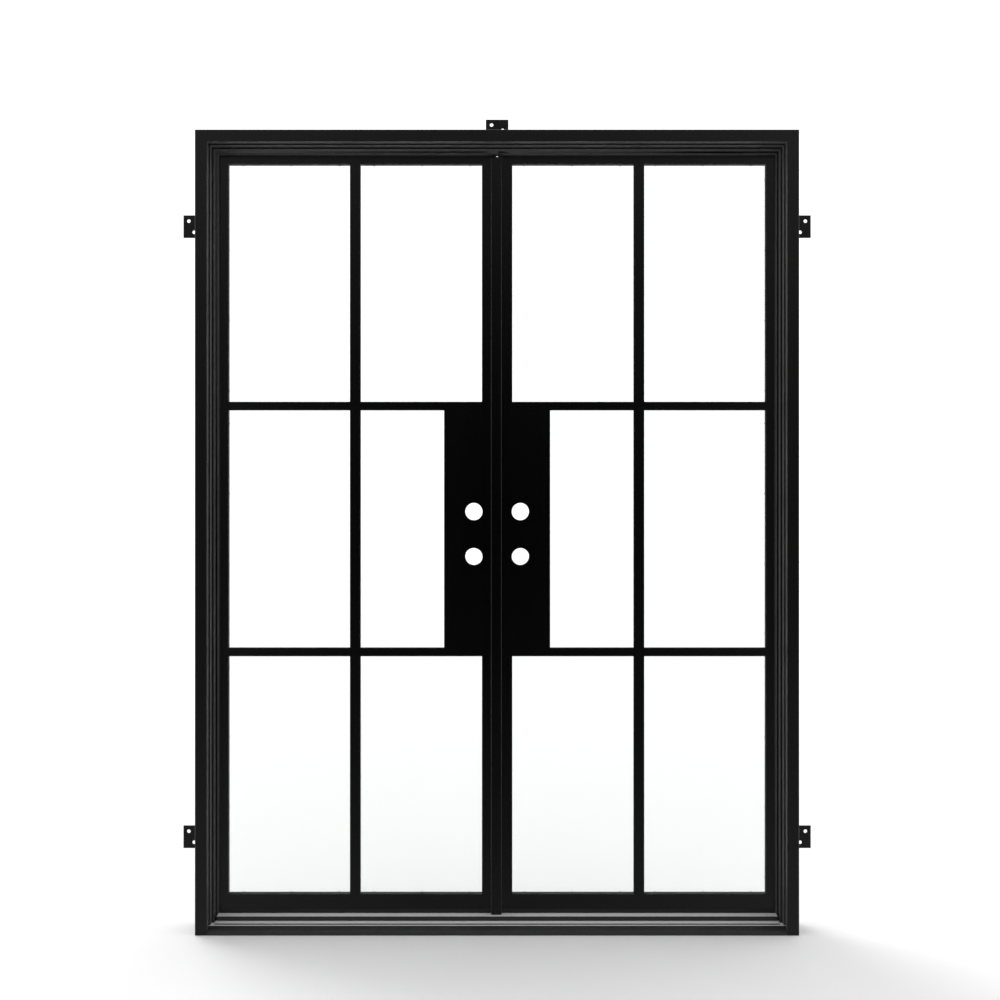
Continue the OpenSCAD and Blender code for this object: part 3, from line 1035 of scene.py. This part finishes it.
@dataclass
class Leaf:
    """One door leaf: its welded steelwork, its glazing and its half of the hinges."""

    side: Side
    edge_radius: float = 0.9 * MM
    bead_radius: float = 0.9 * MM
    hinge_radius: float = 0.8 * MM
    screws_up: int = 4
    screws_across: int = 3
    screw_sink: float = 0.2 * MM
    screw_outset: float = 1.0 * MM
    screw_from_end: float = 45.0 * MM
    plate_weld: float = 3.4 * MM
    plate_pitch: float = 1.9 * MM
    plate_inset: float = 4.0 * MM
    plate_gap: float = 0.1
    steel: Tuple[str, ...] = ("hinge_stile", "top_rail", "meeting_stile", "bottom_rail",
                              "upright_bar", "upper_cross_bar", "lower_cross_bar", "lock_box")

    @property
    def body(self) -> str:
        """The body that this leaf rides on."""
        return f"{self.side.value}_leaf"

    def node(self, part: str) -> str:
        """Return the CAD name of one of this leaf's parts."""
        return f"{self.side.value}_{part}"

    def build(self) -> None:
        """Model and dress the leaf."""
        nodes = [self.node(part) for part in self.steel]
        steel = weld_together(nodes, f"{self.body}_steel")
        soften(steel, self.edge_radius)
        install(steel, self.body, PAINT, nodes)
        self.glaze()
        self.bead()
        self.hang()

    def glaze(self) -> None:
        """Dress the panes, spacers, gaskets and blocks, which keep their CAD shape."""
        for part, finish in (("outer_panes", GLASS), ("inner_panes", GLASS), ("spacers", SPACER),
                             ("gaskets", RUBBER), ("setting_blocks", RUBBER)):
            finish.dress(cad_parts[self.node(part)])

    def bead(self) -> None:
        """Round the glazing beads and drive their screws."""
        node = self.node("beads")
        beads = copy_of(node, f"{self.body}_glazing_beads")
        soften(beads, self.bead_radius)
        install(beads, self.body, PAINT, [node])
        screws = copies_at(BeadScrew().build(), self.screw_places(), f"{self.body}_bead_screws")
        install(screws, self.body, ZINC)

    def openings(self) -> List[Tuple[float, float, float, float]]:
        """Find the sealed units from the outer panes, which are separate solids of one node.

        Returns:
            Each unit's low x, high x, low z and high z.
        """
        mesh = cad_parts[self.node("outer_panes")].data
        parent = list(range(len(mesh.vertices)))
        spots: Dict[Tuple[int, int, int], int] = {}
        for vertex in mesh.vertices:
            key = tuple(round(c / TINY) for c in vertex.co)
            parent[vertex.index] = spots.setdefault(key, vertex.index)

        def root(index: int) -> int:
            """Follow a vertex to the one that stands for its pane.

            Args:
                index: The vertex.

            Returns:
                The vertex that stands for the pane.
            """
            while parent[index] != index:
                index = parent[index]
            return index

        for face in mesh.polygons:
            first = root(face.vertices[0])
            for index in face.vertices[1:]:
                parent[root(index)] = first
        panes: Dict[int, List[Vector]] = {}
        for vertex in mesh.vertices:
            panes.setdefault(root(vertex.index), []).append(vertex.co)
        return [(min(p.x for p in pane), max(p.x for p in pane),
                 min(p.z for p in pane), max(p.z for p in pane)) for pane in panes.values()]

    def screw_places(self) -> List[Point]:
        """Space the screws along the four beads of every opening.

        Returns:
            The middle of each screw head's foot.
        """
        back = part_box(self.node("beads"))[1].y - self.screw_sink
        outset, ends = self.screw_outset, self.screw_from_end
        places: List[Point] = []
        for x0, x1, z0, z1 in self.openings():
            for index in range(self.screws_up):
                z = z0 + ends + (z1 - z0 - 2 * ends) * index / (self.screws_up - 1)
                places += [(x0 + outset, back, z), (x1 - outset, back, z)]
            for index in range(self.screws_across):
                x = x0 + ends + (x1 - x0 - 2 * ends) * index / (self.screws_across - 1)
                places += [(x, back, z0 + outset), (x, back, z1 - outset)]
        return places

    def hang(self) -> None:
        """Model the hinges: both halves of the barrels, their pins, washers and welds."""
        for part, body in (("frame_knuckles", "frame"), ("leaf_knuckles", self.body)):
            node = self.node(part)
            knuckles = copy_of(node, f"{node}_turned")
            soften(knuckles, self.hinge_radius, 3)
            install(knuckles, body, PAINT, [node])
            self.weld_plates(node, body)
        ZINC.dress(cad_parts[self.node("hinge_pins")])
        BRONZE.dress(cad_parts[self.node("hinge_washers")])

    def weld_plates(self, node: str, body: str) -> None:
        """Weld the hinge plates along their far edges.

        Args:
            node: The CAD node that the plates are in.
            body: The body that they are welded to.
        """
        low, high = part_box(node)
        pins_low, pins_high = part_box(self.node("hinge_pins"))
        axis = (pins_low.x + pins_high.x) / 2
        edge = low.x if abs(low.x - axis) > abs(high.x - axis) else high.x
        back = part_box(self.node("beads"))[1].y
        starts, ends = [], []
        for z0, z1 in self.plate_spans(node):
            starts.append((edge, back, z0 + self.plate_inset))
            ends.append((edge, back, z1 - self.plate_inset))
        welder = WeldBeads(self.plate_weld, self.plate_pitch)
        install(welder.run(starts, ends, f"{node}_weld"), body, PAINT)

    def plate_spans(self, node: str) -> List[Tuple[float, float]]:
        """Tell the hinge plates of a node apart by the gaps between them.

        Args:
            node: The CAD node.

        Returns:
            The low and high z of each plate.
        """
        levels = sorted({round(v.co.z, 5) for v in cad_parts[node].data.vertices})
        spans: List[Tuple[float, float]] = []
        start = last = levels[0]
        for level in levels[1:]:
            if level - last > self.plate_gap:
                spans.append((start, last))
                start = level
            last = level
        return spans + [(start, last)]


@dataclass
class LockingSide:
    """What only the left leaf carries: the astragal and the two flush bolts."""

    astragal_radius: float = 2.0 * MM
    rod_radius: float = 0.8 * MM

    def build(self) -> None:
        """Model and dress the astragal and bolts."""
        bar = copy_of("astragal", "astragal_bar", True)
        soften(bar, self.astragal_radius, 4)
        install(bar, "left_leaf", PAINT, ["astragal"])
        for node in ("upper_bolt", "lower_bolt"):
            rod = copy_of(node, f"{node}_rod")
            soften(rod, self.rod_radius, 3)
            install(rod, node, ZINC, [node])
        ZINC.dress(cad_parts["bolt_guides"])


# ---------------------------------------------------------------- studio


@dataclass
class Studio:
    """A pale floor, soft light from behind on the left, and a dark room behind the camera."""

    floor_size: float = 60.0
    floor_drop: float = 0.5 * MM
    distance: float = 4.5
    eye: Point = (0.00895, 0.0, 1.3174)
    view_width: float = 3.0244
    sensor: float = 36.0
    sight: float = 200.0
    sky_strength: float = 1.3
    dark_axis: Point = (0.0, -0.9998, -0.02)
    key_from: Point = (-3.9, 5.4, 8.0)
    key_spread: float = 30.0
    key_strength: float = 0.85
    room: Tuple[Tuple[float, float], ...] = (
        (0.0, 0.0), (2.0, 0.002), (6.0, 0.025), (11.4, 0.085), (14.0, 0.15), (18.0, 0.28),
        (32.0, 0.42), (60.0, 0.55), (90.0, 0.85), (180.0, 1.0))

    def build(self) -> None:
        """Set the stage, the light and the camera."""
        self.floor()
        self.sky()
        self.lamps()
        self.camera()
        bpy.context.scene.view_settings.view_transform = "Standard"

    def floor(self) -> None:
        """Lay the floor."""
        deselect()
        bpy.ops.mesh.primitive_plane_add(size=self.floor_size,
                                         location=(0.0, 0.0, -self.floor_drop))
        paper = bpy.context.active_object
        paper.name = "studio_floor"
        settle(paper)
        bpy.ops.object.mode_set(mode="EDIT")
        bpy.ops.mesh.select_all(action="SELECT")
        bpy.ops.mesh.subdivide(number_cuts=4)
        bpy.ops.object.mode_set(mode="OBJECT")
        PAPER.dress(paper)
        paper.visible_glossy = False

    def sky(self) -> None:
        """Surround the doors with a room that is dark straight in front of them, and seen as white."""
        world = bpy.data.worlds.new("studio_sky")
        bpy.context.scene.world = world
        world.use_nodes = True
        graph = Graph(world.node_tree)
        direction = graph.node("ShaderNodeTexCoord").out("Generated")
        towards = graph.node("ShaderNodeVectorMath", {"operation": "DOT_PRODUCT"},
                             {0: direction, 1: self.dark_axis}).out("Value")
        half_sine = ((1.0 - towards) * 0.5) ** 0.5
        stops = [(math.sin(math.radians(angle) / 2), (glow, glow, glow, 1.0))
                 for angle, glow in self.room]
        seen = graph.node("ShaderNodeLightPath").out("Is Camera Ray")
        room = graph.node("ShaderNodeValToRGB", {"stops": stops}, {"Fac": half_sine})
        shade = graph.node("ShaderNodeBackground", {}, {
            "Color": graph.mix(seen, room, WHITE), "Strength": self.sky_strength})
        graph.finish("ShaderNodeOutputWorld", shade)

    def lamps(self) -> None:
        """Hang one distant soft lamp, high behind the doors on the left."""
        deselect()
        bpy.ops.object.light_add(type="SUN", location=self.key_from)
        lamp = bpy.context.active_object
        lamp.name = "key_lamp"
        lamp.visible_glossy = False
        lamp.data.angle = math.radians(self.key_spread)
        lamp.data.energy = self.key_strength
        lamp.rotation_euler = (-Vector(self.key_from)).to_track_quat("-Z", "Y").to_euler()

    def camera(self) -> None:
        """Stand the camera square to the doors, at eye height."""
        deselect()
        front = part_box("head")[0].y
        bpy.ops.object.camera_add(location=(self.eye[0], front - self.distance, self.eye[2]),
                                  rotation=(math.pi / 2, 0.0, 0.0))
        camera = bpy.context.active_object
        camera.name = "front_camera"
        camera.data.sensor_width = self.sensor
        camera.data.lens = self.sensor * self.distance / self.view_width
        camera.data.clip_end = self.sight
        bpy.context.scene.camera = camera


def main() -> None:
    """Build every sub-assembly in order, then the studio around them."""
    logging.basicConfig(level=logging.INFO, format="%(name)s: %(message)s")
    SteelFrame().build()
    Sill().build()
    WeatherSeals().build()
    for side in Side:
        Leaf(side).build()
    LockingSide().build()
    Studio().build()


if __name__ == "__main__":
    main()
